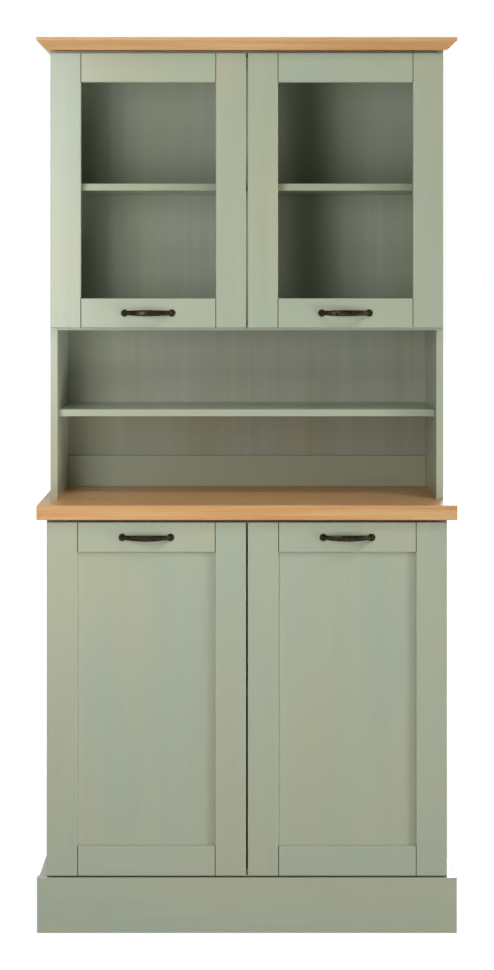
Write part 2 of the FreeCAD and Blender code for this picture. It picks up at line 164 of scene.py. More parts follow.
# %% [markdown]
# The studio. A soft box close on the left lays a pale sheen on the upper left stile and fades to
# the right, so the niche darkens towards its right side. A lamp beside it shines almost straight
# in through the windows and leaves the left end of each bay dark, and a low card lights the foot.
# Far to the right two soft walls graze the front, which darkens each panel beside the stile on
# its right, and a narrow strip adds light on edges that face right. A large box high on the right
# lights the oak from above. Two more stand behind the line of the front, for the left side and
# the back. The window lamp, the low card and the two walls are kept out of all reflections, so the
# panes don't mirror them as white sheets. The soft box on the left stays in for its sheen, so seen
# from the right the panes mirror it as a pale sheet.
# The world could fill the rest, but it would wash out the cupboard's inside, so matt surfaces get
# nothing from it. It is white for the camera and through glass, by the kind of ray, and what shiny
# surfaces mirror is white behind the cabinet and dim in front of it. The floor is white too, and
# keeps a faint shadow.

# %% Lights
def soft_light(name, place, target, width, height, irradiance, mirrored=True):
    """An area lamp. Its power is worked out from the light that it should give at the target,
    as a share of what makes a white board read as white. Without mirrored it leaves no sheen."""
    data = bpy.data.lights.new(name, "AREA")
    data.shape = "RECTANGLE"
    data.size = width
    data.size_y = height
    away = Vector(place) - Vector(target)
    data.energy = irradiance * math.pi ** 2 * away.length_squared
    made = bpy.data.objects.new(name, data)
    made.location = place
    made.rotation_euler = away.to_track_quat("Z", "Y").to_euler()
    made.visible_camera = False
    made.visible_glossy = mirrored
    bpy.context.scene.collection.objects.link(made)


soft_light("left_soft_box", (-0.78, -1.7, 1.66), (-0.3, -0.1, 1.6), 0.5, 1.1, 0.43)
soft_light("window_light", (-0.5, -1.7, 1.6), (-0.2, -0.1, 1.6), 0.3, 1.0, 0.20, mirrored=False)
soft_light("low_left_card", (-0.9, -2.6, 0.3), (-0.1, -0.1, 0.2), 0.7, 0.5, 0.16, mirrored=False)
soft_light("right_wall_low", (4.5, -1.9, 0.4), (-0.1, -0.1, 0.3), 0.9, 0.7, 0.36, mirrored=False)
soft_light("right_wall_high", (4.7, -1.9, 1.9), (-0.1, -0.1, 1.2), 0.9, 2.2, 0.04, mirrored=False)
soft_light("right_edge_strip", (2.4, -0.75, 1.2), (0.0, -0.1, 1.1), 0.3, 2.4, 0.18)
soft_light("top_soft_box", (2.2, -3.0, 5.6), (0.0, -0.2, 1.2), 2.4, 1.4, 0.37)
soft_light("back_soft_box", (1.2, 3.6, 2.2), (0.0, 0.2, 1.1), 1.8, 2.2, 0.55)
soft_light("far_side_card", (-3.6, 1.0, 1.8), (-0.4, 0.1, 1.0), 1.4, 2.2, 0.40)


# How far a mirrored ray points backwards where the dim part ends and where the white one begins
dim_until, white_from = -0.5, 0.2


def studio_world(fill, dim):
    """White for the camera and through glass, white to dim for what shiny surfaces mirror, and
    the fill for matt ones."""
    world = bpy.data.worlds.new("studio")
    bpy.context.scene.world = world
    world.use_nodes = True
    tree = world.node_tree
    tree.nodes.clear()
    ray = add(tree, "ShaderNodeLightPath")
    seen = add(tree, "ShaderNodeMath", {0: ray.outputs["Is Camera Ray"],
                                        1: ray.outputs["Is Transmission Ray"]},
               operation="MAXIMUM")
    place = add(tree, "ShaderNodeTexCoord")
    axes = add(tree, "ShaderNodeSeparateXYZ", {0: place.outputs["Generated"]})
    behind = add(tree, "ShaderNodeMapRange", {"Value": axes.outputs["Y"],
                                              "From Min": dim_until, "From Max": white_from,
                                              "To Min": dim, "To Max": 1.0})
    glossy = add(tree, "ShaderNodeMix", {0: ray.outputs["Is Glossy Ray"], 2: fill,
                                         3: behind.outputs["Result"]})
    strength = add(tree, "ShaderNodeMix", {0: seen.outputs[0], 2: glossy.outputs[0], 3: 1.0})
    light = add(tree, "ShaderNodeBackground", {"Color": colour("FFFFFF"),
                                               "Strength": strength.outputs[0]})
    output = add(tree, "ShaderNodeOutputWorld")
    tree.links.new(light.outputs[0], output.inputs["Surface"])


studio_world(fill=0.0, dim=0.05)

# %% Floor
floor_reach = 40.0
floor_shadow_share = 0.12
shadow_reach = 2.4
glow_strength = 1.12
floor_grey = "B4B4B2"


def pale_floor():
    mesh = bpy.data.meshes.new("pale_floor")
    corners = [(x * floor_reach, y * floor_reach, cad_low.z)
               for x, y in ((-1, -1), (1, -1), (1, 1), (-1, 1))]
    mesh.from_pydata(corners, [], [(0, 1, 2, 3)])
    made = bpy.data.objects.new("pale_floor", mesh)
    bpy.context.scene.collection.objects.link(made)
    material = bpy.data.materials.new("white_studio_floor")
    material.use_nodes = True
    tree = material.node_tree
    tree.nodes.clear()
    ray = add(tree, "ShaderNodeLightPath")
    seen = add(tree, "ShaderNodeMath", {0: ray.outputs["Is Camera Ray"],
                                        1: ray.outputs["Is Transmission Ray"]},
               operation="MAXIMUM")
    either = add(tree, "ShaderNodeMath", {0: seen.outputs[0], 1: ray.outputs["Is Glossy Ray"]},
                 operation="MAXIMUM")
    matt = add(tree, "ShaderNodeBsdfDiffuse", {"Color": colour(floor_grey)})
    glow = add(tree, "ShaderNodeEmission", {"Color": colour("FFFFFF"), "Strength": glow_strength})
    place = add(tree, "ShaderNodeTexCoord")
    distance = add(tree, "ShaderNodeVectorMath", {0: place.outputs["Object"]},
                   operation="LENGTH")
    share = add(tree, "ShaderNodeMapRange", {"Value": distance.outputs["Value"],
                                             "From Min": shadow_reach / 2,
                                             "From Max": shadow_reach,
                                             "To Min": floor_shadow_share, "To Max": 0.0})
    lit = add(tree, "ShaderNodeMixShader", {0: share.outputs["Result"], 1: glow.outputs[0],
                                            2: matt.outputs[0]})
    choice = add(tree, "ShaderNodeMixShader", {0: either.outputs[0], 1: matt.outputs[0],
                                               2: lit.outputs[0]})
    output = add(tree, "ShaderNodeOutputMaterial")
    tree.links.new(choice.outputs[0], output.inputs["Surface"])
    mesh.materials.append(material)
    made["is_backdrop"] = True


pale_floor()

# %% [markdown]
# Wood grain. A board is a slice of a log, so its lines are the log's rings cut lengthwise. The
# pattern is made the same way: rings round a pith that runs almost along the board, a little
# behind its face, with the log's slow bends. Where the pith comes near the face the lines close
# into arches, and elsewhere they run straight. A flat picture of grain would have to be unwrapped
# on every side. This one is solid, so end grain, edges and chamfers agree by themselves.
# Each board comes from another place in the log, so each has its own offset.

# %% Coordinates along a board
MILLIMETRE = 0.001
# The rings are this many times longer along the board than across it
ring_stretch = 26.0
bend_length_mm, bend_width_mm = 420.0, 60.0
# Where in a ring its dark late wood begins, and where it is darkest
late_start, late_full = 0.35, 0.9


def along_grain(tree, grain, along_mm, across_mm, offset):
    """Object coordinates in which one unit is along_mm along the grain and across_mm across."""
    scale = [1 / (across_mm * MILLIMETRE)] * 3
    scale[grain] = 1 / (along_mm * MILLIMETRE)
    place = add(tree, "ShaderNodeTexCoord")
    made = add(tree, "ShaderNodeMapping", {"Vector": place.outputs["Object"],
                                           "Location": offset, "Scale": scale})
    return made.outputs["Vector"]


def streaks(tree, grain, along_mm, across_mm, offset, low, high, detail=3.0):
    """A factor from 0 to 1 that varies in streaks of that length and width."""
    noise = add(tree, "ShaderNodeTexNoise",
                {"Vector": along_grain(tree, grain, along_mm, across_mm, offset),
                 "Scale": 1.0, "Detail": detail})
    clear = add(tree, "ShaderNodeMapRange", {"Value": noise.outputs["Fac"],
                                             "From Min": low, "From Max": high})
    return clear.outputs["Result"]


def ring_lines(tree, grain, ring_mm, bend_mm, offset):
    """The log's rings, thin and dark on their late side, as a factor from 0 to 1."""
    place = along_grain(tree, grain, ring_stretch * ring_mm, ring_mm, offset)
    bend = add(tree, "ShaderNodeTexNoise",
               {"Vector": along_grain(tree, grain, bend_length_mm, bend_width_mm, offset),
                "Scale": 1.0, "Detail": 1.5})
    centred = add(tree, "ShaderNodeVectorMath", {0: bend.outputs["Color"], 1: (0.5, 0.5, 0.5)},
                  operation="SUBTRACT")
    push = add(tree, "ShaderNodeVectorMath",
               {0: centred.outputs[0], "Scale": bend_mm / ring_mm}, operation="SCALE")
    bent = add(tree, "ShaderNodeVectorMath", {0: place, 1: push.outputs[0]}, operation="ADD")
    distance = add(tree, "ShaderNodeVectorMath", {0: bent.outputs[0]}, operation="LENGTH")
    step = add(tree, "ShaderNodeMath", {0: distance.outputs["Value"]}, operation="FRACT")
    late = add(tree, "ShaderNodeMapRange", {"Value": step.outputs[0], "From Min": late_start,
                                            "From Max": late_full, "To Min": 0.0, "To Max": 1.0},
               interpolation_type="SMOOTHSTEP")
    fade = add(tree, "ShaderNodeMapRange", {"Value": step.outputs[0], "From Min": late_full,
                                            "From Max": 1.0, "To Min": 1.0, "To Max": 0.0})
    line = add(tree, "ShaderNodeMath", {0: late.outputs["Result"], 1: fade.outputs["Result"]},
               operation="MULTIPLY")
    return line.outputs[0]


GRAIN_AXIS = {"x": 0, "y": 1, "z": 2}
grain_seed, log_reach = 7, 40
log_places = random.Random(grain_seed)


def place_in_log():
    """A random offset, in pattern units."""
    return tuple(log_places.uniform(-log_reach, log_reach) for _ in range(3))


# %% [markdown]
# Painted pine. The boards are pine under a thin sage wash, a satin paint that is brushed or
# rolled on and rubbed back, so the stronger lines of the wood and the lap of the brush still show
# as soft streaks a few tones apart. What the eye gets is a pale grey-green that drifts between a
# bluer and a yellower green over a hand's width, with hardly any lines and a soft sheen. Paint is
# a dielectric, so its IOR is the usual 1.5 and only its roughness varies.
# Where a door's rail meets its stile the wood moves and the paint cracks, so each joint is a fine
# groove. The groove is in the shape, and the shade that falls in it is painted on here as a dark
# line.

# %% Sage-washed pine
cool_sage, warm_sage = "A3AE99", "ABAE94"
# The back boards' colours are greyer than the front's sage, and lighter as painted light for the
# cupboard's inside
board_grey, board_pale = "B3B7A9", "CACEC2"
sage_line, sage_pale = "8F9A80", "BEC3AE"
# The joints' dark tone is painted shade, for the shade that falls in their fine grooves
joint_shade_tone, joint_half_width_mm = "3C4133", 1.0
# How strongly each pattern shows in the paint
sage_lap_share, sage_ring_share, sage_fleck_share, joint_shade_share = 0.22, 0.05, 0.02, 0.8


def open_joints(tree, opening):
    """A factor that is 1 along the joints of a door frame, beside and beyond its opening."""
    middle_x, half_width, middle_z, half_height = opening
    place = add(tree, "ShaderNodeTexCoord")
    axes = add(tree, "ShaderNodeSeparateXYZ", {0: place.outputs["Object"]})
    aside = add(tree, "ShaderNodeMath", {0: axes.outputs["X"], 1: middle_x},
                operation="SUBTRACT")
    reach = add(tree, "ShaderNodeMath", {0: aside.outputs[0]}, operation="ABSOLUTE")
    near = add(tree, "ShaderNodeMath",
               {0: reach.outputs[0], 1: half_width, 2: joint_half_width_mm * MILLIMETRE},
               operation="COMPARE")
    above = add(tree, "ShaderNodeMath", {0: axes.outputs["Z"], 1: middle_z},
                operation="SUBTRACT")
    rise = add(tree, "ShaderNodeMath", {0: above.outputs[0]}, operation="ABSOLUTE")
    beyond = add(tree, "ShaderNodeMath", {0: rise.outputs[0], 1: half_height},
                 operation="GREATER_THAN")
    both = add(tree, "ShaderNodeMath", {0: near.outputs[0], 1: beyond.outputs[0]},
               operation="MULTIPLY")
    return both.outputs[0]


def washed_pine(name, grain, opening=None):
    axis = GRAIN_AXIS[grain]
    offset = place_in_log()
    made, tree, shader, _ = new_material(name)
    drift = streaks(tree, axis, 520.0, 130.0, offset, 0.35, 0.65, detail=1.0)
    tone = blend_colours(tree, drift, colour(cool_sage), colour(warm_sage))
    laps = streaks(tree, axis, 600.0, 26.0, offset, 0.15, 0.95, detail=2.0)
    faint_laps = add(tree, "ShaderNodeMath", {0: laps, 1: sage_lap_share},
                     operation="MULTIPLY")
    tone = blend_colours(tree, faint_laps.outputs[0], tone, colour(sage_pale))
    rings = ring_lines(tree, axis, 11.0, 70.0, offset)
    faint_rings = add(tree, "ShaderNodeMath", {0: rings, 1: sage_ring_share},
                      operation="MULTIPLY")
    tone = blend_colours(tree, faint_rings.outputs[0], tone, colour(sage_line))
    fine = streaks(tree, axis, 120.0, 2.4, offset, 0.3, 0.7, detail=2.0)
    faint_fine = add(tree, "ShaderNodeMath", {0: fine, 1: sage_fleck_share},
                     operation="MULTIPLY")
    tone = blend_colours(tree, faint_fine.outputs[0], tone, colour(sage_line))
    # Painted shade: a dark line along each joint, where its groove lies in shade
    if opening:
        painted_joint_shade = add(tree, "ShaderNodeMath", {0: open_joints(tree, opening), 1: joint_shade_share},
                   operation="MULTIPLY")
        tone = blend_colours(tree, painted_joint_shade.outputs[0], tone, colour(joint_shade_tone))
    tree.links.new(tone, shader.inputs["Base Color"])
    sheen = add(tree, "ShaderNodeMapRange", {"Value": laps, "To Min": 0.20, "To Max": 0.24})
    tree.links.new(sheen.outputs["Result"], shader.inputs["Roughness"])
    height = add(tree, "ShaderNodeMath", {0: fine, 1: rings}, operation="ADD")
    relief = add(tree, "ShaderNodeBump", {"Height": height.outputs[0], "Strength": 0.015,
                                          "Distance": 0.3 * MILLIMETRE})
    tree.links.new(relief.outputs["Normal"], shader.inputs["Normal"])
    return made


# %% [markdown]
# Oak. The countertop and the top board are solid oak staves, sanded and oiled. Oak's own marks are
# the open pores of the spring wood: dark dashes a few millimetres long and a fraction of one wide,
# which crowd along each ring. At this size they are drawn about twice as wide as the real ones,
# because finer ones would vanish. Between them the wood drifts from straw to a redder brown, and
# every glued stave has its own tone.

# %% Oiled oak
oak_straw, oak_honey, oak_red, oak_pore = "DCB27E", "C9955C", "C0844E", "8A5A31"
# How strongly each pattern shows in the oak
oak_red_share, oak_ring_share, oak_pore_share, oak_stave_share = 0.55, 0.22, 0.45, 0.18


def oiled_oak(name, grain, stave_mm):
    axis = GRAIN_AXIS[grain]
    offset = place_in_log()
    made, tree, shader, _ = new_material(name)
    broad = streaks(tree, axis, 480.0, 14.0, offset, 0.32, 0.68, detail=4.0)
    tone = blend_colours(tree, broad, colour(oak_honey), colour(oak_straw))
    red = streaks(tree, axis, 700.0, 30.0, offset[::-1], 0.5, 0.8)
    some_red = add(tree, "ShaderNodeMath", {0: red, 1: oak_red_share}, operation="MULTIPLY")
    tone = blend_colours(tree, some_red.outputs[0], tone, colour(oak_red))
    rings = ring_lines(tree, axis, 4.5, 60.0, offset)
    pores = streaks(tree, axis, 9.0, 0.8, offset, 0.56, 0.66, detail=1.0)
    crowded = add(tree, "ShaderNodeMath", {0: rings, 1: pores}, operation="MULTIPLY")
    ring_tone = add(tree, "ShaderNodeMath", {0: rings, 1: oak_ring_share},
                    operation="MULTIPLY")
    tone = blend_colours(tree, ring_tone.outputs[0], tone, colour(oak_red))
    dark = add(tree, "ShaderNodeMath", {0: crowded.outputs[0], 1: oak_pore_share},
               operation="MULTIPLY")
    tone = blend_colours(tree, dark.outputs[0], tone, colour(oak_pore))
    place = add(tree, "ShaderNodeTexCoord")
    axes = add(tree, "ShaderNodeSeparateXYZ", {0: place.outputs["Object"]})
    row = add(tree, "ShaderNodeMath", {0: axes.outputs["Y"], 1: stave_mm * MILLIMETRE},
              operation="DIVIDE")
    stave = add(tree, "ShaderNodeMath", {0: row.outputs[0]}, operation="FLOOR")
    chance = add(tree, "ShaderNodeTexWhiteNoise", {"W": stave.outputs[0]},
                 noise_dimensions="1D")
    stave_tone = add(tree, "ShaderNodeMath", {0: chance.outputs["Value"], 1: oak_stave_share},
                     operation="MULTIPLY")
    tone = blend_colours(tree, stave_tone.outputs[0], tone, colour(oak_honey))
    tree.links.new(tone, shader.inputs["Base Color"])
    sheen = add(tree, "ShaderNodeMapRange", {"Value": pores, "To Min": 0.36, "To Max": 0.60})
    tree.links.new(sheen.outputs["Result"], shader.inputs["Roughness"])
    depth = add(tree, "ShaderNodeMath", {0: 1.0, 1: crowded.outputs[0]}, operation="SUBTRACT")
    relief = add(tree, "ShaderNodeBump", {"Height": depth.outputs[0], "Strength": 0.25,
                                          "Distance": 0.3 * MILLIMETRE})
    tree.links.new(relief.outputs["Normal"], shader.inputs["Normal"])
    return made


# %% [markdown]
# Back boards. They are thin fibreboard with a sage paint like the front's, rolled on at the
# factory in upright passes. There is no grain below it, only the roller's streaks, and the paint
# is duller.
# Its colours are greyer and lighter than the front's: the grey is the board's own, and the extra
# lightness is painted light that brightens the inside of the cupboard.

# %% Painted fibreboard
roller_pass_share = 0.26


def painted_fibreboard(name):
    offset = place_in_log()
    made, tree, shader, _ = new_material(name)
    drift = streaks(tree, GRAIN_AXIS["z"], 500.0, 150.0, offset, 0.45, 0.85, detail=1.0)
    # Painted light: these board colours are lighter than the front's sage, to brighten the
    # cupboard's inside
    tone = blend_colours(tree, drift, colour(board_grey), colour(warm_sage))
    passes = streaks(tree, GRAIN_AXIS["z"], 700.0, 22.0, offset, 0.40, 0.72, detail=1.5)
    faint_passes = add(tree, "ShaderNodeMath", {0: passes, 1: roller_pass_share},
                       operation="MULTIPLY")
    tone = blend_colours(tree, faint_passes.outputs[0], tone, colour(board_pale))
    tree.links.new(tone, shader.inputs["Base Color"])
    stipple = streaks(tree, GRAIN_AXIS["z"], 3.0, 2.0, offset, 0.3, 0.7, detail=2.0)
    sheen = add(tree, "ShaderNodeMapRange", {"Value": stipple, "To Min": 0.5, "To Max": 0.62})
    tree.links.new(sheen.outputs["Result"], shader.inputs["Roughness"])
    relief = add(tree, "ShaderNodeBump", {"Height": stipple, "Strength": 0.08,
                                          "Distance": 0.2 * MILLIMETRE})
    tree.links.new(relief.outputs["Normal"], shader.inputs["Normal"])
    return made


# %% [markdown]
# Window glass. Clear float glass bends light at 1.52 and has a trace of green, from iron, that
# shows only in its cut edge. A glass shader alone would keep the lamps out of the cupboard,
# because Cycles doesn't look for lamps through it, so for rays from the wood to the lamps and to
# the room the pane is open instead. That holds for what the satin paint mirrors too: such a ray
# would count as one that went through glass, find the white background, and make the bays pale.

# %% Float glass
glass_tint = "FBFDFB"


def float_glass(name):
    made, tree, shader, output = new_material(name)
    shader.inputs["Base Color"].default_value = colour(glass_tint)
    shader.inputs["Transmission Weight"].default_value = 1.0
    shader.inputs["IOR"].default_value = 1.52
    shader.inputs["Roughness"].default_value = 0.0
    ray = add(tree, "ShaderNodeLightPath")
    from_wood = add(tree, "ShaderNodeMath", {0: ray.outputs["Is Shadow Ray"],
                                             1: ray.outputs["Is Reflection Ray"]},
                    operation="MAXIMUM")
    open_pane = add(tree, "ShaderNodeBsdfTransparent", {"Color": colour(glass_tint)})
    pane = add(tree, "ShaderNodeMixShader", {0: from_wood.outputs[0],
                                             1: shader.outputs["BSDF"],
                                             2: open_pane.outputs[0]})
    tree.links.new(pane.outputs[0], output.inputs["Surface"])
    return made


# %% [markdown]
# Metals. The handles are cast zinc with an antique bronze patina: almost black in the hollows,
# brown and smoother where hands rub the front of the bow. The hinges and shelf pins are pressed
# steel with bright nickel, which is a little yellower and darker than chrome.

# %% Antique bronze and nickel
bronze_dark, bronze_rubbed = "1B1812", "453C2A"
nickel_dull, nickel_bright = "B4B0A6", "CBC7BD"


def antique_bronze(name):
    made, tree, shader, _ = new_material(name)
    shader.inputs["Metallic"].default_value = 0.85
    place = add(tree, "ShaderNodeTexCoord")
    cloud = add(tree, "ShaderNodeTexNoise", {"Vector": place.outputs["Object"], "Scale": 160.0,
                                             "Detail": 4.0})
    brushed = add(tree, "ShaderNodeMapRange", {"Value": cloud.outputs["Fac"], "From Min": 0.35,
                                               "From Max": 0.7})
    tone = blend_colours(tree, brushed.outputs["Result"], colour(bronze_dark),
                         colour(bronze_rubbed))
    tree.links.new(tone, shader.inputs["Base Color"])
    sheen = add(tree, "ShaderNodeMapRange", {"Value": brushed.outputs["Result"], "To Min": 0.45,
                                             "To Max": 0.30})
    tree.links.new(sheen.outputs["Result"], shader.inputs["Roughness"])
    relief = add(tree, "ShaderNodeBump", {"Height": cloud.outputs["Fac"], "Strength": 0.15,
                                          "Distance": 0.2 * MILLIMETRE})
    tree.links.new(relief.outputs["Normal"], shader.inputs["Normal"])
    return made


def nickel_plate(name):
    made, tree, shader, _ = new_material(name)
    shader.inputs["Metallic"].default_value = 1.0
    place = add(tree, "ShaderNodeTexCoord")
    cloud = add(tree, "ShaderNodeTexNoise", {"Vector": place.outputs["Object"], "Scale": 220.0,
                                             "Detail": 3.0})
    tone = blend_colours(tree, cloud.outputs["Fac"], colour(nickel_dull), colour(nickel_bright))
    tree.links.new(tone, shader.inputs["Base Color"])
    sheen = add(tree, "ShaderNodeMapRange", {"Value": cloud.outputs["Fac"], "From Min": 0.3,
                                             "From Max": 0.7, "To Min": 0.2, "To Max": 0.34})
    tree.links.new(sheen.outputs["Result"], shader.inputs["Roughness"])
    return made


# %% [markdown]
# Small things. The dowels are raw beech with short fine flecks. The bumpers are drops of soft
# clear plastic that look milky against the paint.

# %% Beech and bumper plastic
beech_pale, beech_fleck, plastic_milk = "D9B48A", "C39768", "DEDED6"


def raw_beech(name):
    offset = place_in_log()
    made, tree, shader, _ = new_material(name)
    flecks = streaks(tree, GRAIN_AXIS["z"], 4.0, 0.5, offset, 0.45, 0.65, detail=1.0)
    tone = blend_colours(tree, flecks, colour(beech_pale), colour(beech_fleck))
    tree.links.new(tone, shader.inputs["Base Color"])
    sheen = add(tree, "ShaderNodeMapRange", {"Value": flecks, "To Min": 0.6, "To Max": 0.7})
    tree.links.new(sheen.outputs["Result"], shader.inputs["Roughness"])
    return made


def soft_clear_plastic(name):
    made, tree, shader, _ = new_material(name)
    shader.inputs["Base Color"].default_value = colour(plastic_milk)
    shader.inputs["Transmission Weight"].default_value = 0.5
    place = add(tree, "ShaderNodeTexCoord")
    cloud = add(tree, "ShaderNodeTexNoise", {"Vector": place.outputs["Object"], "Scale": 300.0})
    haze = add(tree, "ShaderNodeMapRange", {"Value": cloud.outputs["Fac"], "To Min": 0.3,
                                            "To Max": 0.5})
    tree.links.new(haze.outputs["Result"], shader.inputs["Roughness"])
    return made


# %% [markdown]
# Which way the grain runs. A joiner lays the grain along the length of every piece: upright in
# stiles, panels and side boards, level in rails, shelves and the plinth, and front to back in
# the plinth's side boards.

# %% A finish for each board
level_words = ("rail", "shelf", "bottom", "top", "stretcher", "plinth_front", "cornice", "beads")
stave_width_mm = 92.0


def grain_of(node):
    if node.startswith("plinth_side"):
        return "y"
    if "panel" in node or "stile" in node:
        return "z"
    return "x" if any(word in node for word in level_words) else "z"


def opening_of(node):
    """The middle and half sizes of the opening in a door, for a stile or rail of its frame."""
    level, side = node.split("_")[0], node.split("_")[-1]
    if level not in ("lower", "upper") or not ("stile" in node or "rail" in node):
        return None
    hinge_low, hinge_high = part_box(f"{level}_hinge_stile_{side}")
    free_low, free_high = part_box(f"{level}_free_stile_{side}")
    left, right = min(hinge_high.x, free_high.x), max(hinge_low.x, free_low.x)
    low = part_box(f"{level}_bottom_rail_{side}")[1].z
    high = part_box(f"{level}_top_rail_{side}")[0].z
    return (left + right) / 2, (right - left) / 2, (low + high) / 2, (high - low) / 2


def finish_for(node):
    slot = slot_of[node]
    if slot == "painted_pine":
        return washed_pine("sage_washed_pine_" + node, grain_of(node), opening_of(node))
    if slot == "oak":
        return oiled_oak("oiled_oak_" + node, "x", stave_width_mm)
    if slot == "back_board":
        return painted_fibreboard("painted_fibreboard_" + node)
    return shared_finish[slot]


shared_finish = {
    "glass": float_glass("clear_float_glass"),
    "bronze": antique_bronze("antique_bronze"),
    "steel": nickel_plate("nickel_plated_steel"),
    "beech": raw_beech("raw_beech"),
    "bumper": soft_clear_plastic("soft_clear_plastic"),
}
print("shared finishes:", sorted(shared_finish))

# %% [markdown]
# Eased edges. No edge of a real board is sharp: the paint rounds it and sandpaper takes a hair
# off, and the thin bright lines in a photograph of a cupboard are these rounded edges. The boards
# come as loose triangles with exact corners. Each is copied, its triangles are merged and its
# flat faces joined, and a Bevel modifier rounds the corners by a real size. Smooth shading alone
# would bend the light on the flat faces too, most of all round holes, so a Weighted Normal
# modifier lets the largest face at each corner decide.
# Boards get the most. Door frames, which have their own chamfers and grooves, get a little less,
# and thin beads and pressed metal get hardly any. The beads are shaded flat, because one long
# corner of theirs would bend a whole face. The panes stay as they are: they are flat right up to
# the beads that hide their edges, and a mirror shows the slightest bend.

# %% Pieces with eased edges
weld_distance = 1e-6
flat_within = math.radians(0.5)
board_ease_mm, frame_ease_mm, thin_ease_mm = 0.8, 0.65, 0.15
# An edge is rounded where its two faces turn by more than this
board_sharp, frame_sharp, thin_sharp = math.radians(35), math.radians(25), math.radians(40)
frame_words = ("stile", "rail", "panel")


def link_object(name, mesh):
    made = bpy.data.objects.new(name, mesh)
    bpy.context.scene.collection.objects.link(made)
    return made


def ease_for(node):
    if slot_of[node] in ("steel", "beech", "bumper") or "beads" in node:
        return thin_ease_mm, thin_sharp
    if any(word in node for word in frame_words) and "back" not in node:
        return frame_ease_mm, frame_sharp
    return board_ease_mm, board_sharp


def eased_piece(node):
    ease_mm, sharp_angle = ease_for(node)
    shape = bmesh.new()
    shape.from_mesh(nodes[node].data)
    bmesh.ops.remove_doubles(shape, verts=shape.verts, dist=weld_distance)
    bmesh.ops.dissolve_limit(shape, angle_limit=flat_within, verts=shape.verts,
                             edges=shape.edges)
    mesh = bpy.data.meshes.new(node + "_eased")
    shape.to_mesh(mesh)
    shape.free()
    if "beads" in node:
        mesh.shade_flat()
    else:
        mesh.shade_smooth()
    mesh.materials.append(finish_for(node))
    made = link_object(node + "_eased", mesh)
    bevel = made.modifiers.new("eased_edges", "BEVEL")
    bevel.width = ease_mm * MILLIMETRE
    bevel.segments = 2
    bevel.limit_method = "ANGLE"
    bevel.angle_limit = sharp_angle
    flat_faces = made.modifiers.new("flat_faces", "WEIGHTED_NORMAL")
    flat_faces.mode = "FACE_AREA"
    flat_faces.weight = 100
    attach(made, body_of[node])
    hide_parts(node)


handle_nodes = [node for node in nodes if slot_of[node] == "bronze"]
pane_nodes = [node for node in nodes if slot_of[node] == "glass"]
for node in sorted(nodes):
    if node in pane_nodes:
        nodes[node].data.materials.clear()
        nodes[node].data.materials.append(finish_for(node))
    elif node not in handle_nodes:
        eased_piece(node)
print("pieces with eased edges:", len(nodes) - len(handle_nodes) - len(pane_nodes))

# %% [markdown]
# Bow handles. Each is one casting: two round rosettes with a raised rim round a hollow, a small
# boss in the hollow, and a bow that swells from the bosses to its middle. It could be carved from
# a block, but its two kinds of form are simpler on their own: a rosette is a profile turned round
# an axis, and the bow is one cross section carried along an arc. The section is a flattened oval
# with three shallow flutes along its front, and its height follows the photograph's swelling.

# %% Rosette and bow
ROSETTE_PROFILE_SHARES = ((0.0, 1.0), (0.22, 0.96), (0.36, 0.80), (0.44, 0.56), (0.54, 0.50),
                          (0.66, 0.66), (0.78, 0.78), (0.90, 0.70), (0.99, 0.46), (1.0, 0.06),
                          (0.96, 0.0))
rosette_height = 4.5 * MILLIMETRE
bow_height, bow_end_height = 14.0 * MILLIMETRE, 9.0 * MILLIMETRE
bow_thickness, bow_end_thickness = 4.6 * MILLIMETRE, 4.0 * MILLIMETRE
flute_count, flute_share = 3, 0.10
oval_power = 0.8
turns, bow_steps, section_steps = 40, 36, 28


def turned_rosette(shape, centre, radius):
    """Adds a rosette that stands on the door at centre and faces forward."""
    rings = []
    for reach, rise in ROSETTE_PROFILE_SHARES:
        y = centre.y - rise * rosette_height
        if reach == 0:
            rings.append([shape.verts.new((centre.x, y, centre.z))])
            continue
        rings.append([shape.verts.new((centre.x + reach * radius * math.cos(turn), y,
                                       centre.z + reach * radius * math.sin(turn)))
                      for turn in (2 * math.pi * k / turns for k in range(turns))])
    for inner, outer in zip(rings, rings[1:]):
        for k in range(turns):
            after = (k + 1) % turns
            if len(inner) == 1:
                shape.faces.new((inner[0], outer[k], outer[after]))
            else:
                shape.faces.new((inner[k], outer[k], outer[after], inner[after]))
    shape.faces.new(rings[-1])


def bow_section(share):
    """Offsets across the bow, outward and up, at that share of its length."""
    swell = math.sin(math.pi * share)
    half_height = (bow_end_height + (bow_height - bow_end_height) * swell) / 2
    half_thickness = (bow_end_thickness + (bow_thickness - bow_end_thickness) * swell) / 2
    points = []
    for k in range(section_steps):
        turn = 2 * math.pi * k / section_steps
        up = math.copysign(abs(math.sin(turn)) ** oval_power, math.sin(turn))
        out = math.copysign(abs(math.cos(turn)) ** oval_power, math.cos(turn))
        if out > 0:
            out *= 1 - flute_share * swell * (1 + math.cos(flute_count * math.pi * up)) / 2
        points.append((out * half_thickness, up * half_height))
    return points


def swept_bow(shape, middle, half_span, sag):
    """Adds the bow between two rosettes, as an arc that leaves the door and comes back."""
    radius = (half_span ** 2 + sag ** 2) / (2 * sag)
    half_turn = math.asin(half_span / radius)
    rings = []
    for step in range(bow_steps + 1):
        share = step / bow_steps
        turn = (2 * share - 1) * half_turn
        outward = Vector((math.sin(turn), -math.cos(turn), 0))
        centre = middle + Vector((0, radius - sag, 0)) + outward * radius
        rings.append([shape.verts.new(centre + outward * out + Vector((0, 0, up)))
                      for out, up in bow_section(share)])
    for first, second in zip(rings, rings[1:]):
        for k in range(section_steps):
            after = (k + 1) % section_steps
            shape.faces.new((first[k], first[after], second[after], second[k]))
    shape.faces.new(rings[0])
    shape.faces.new(rings[-1][::-1])


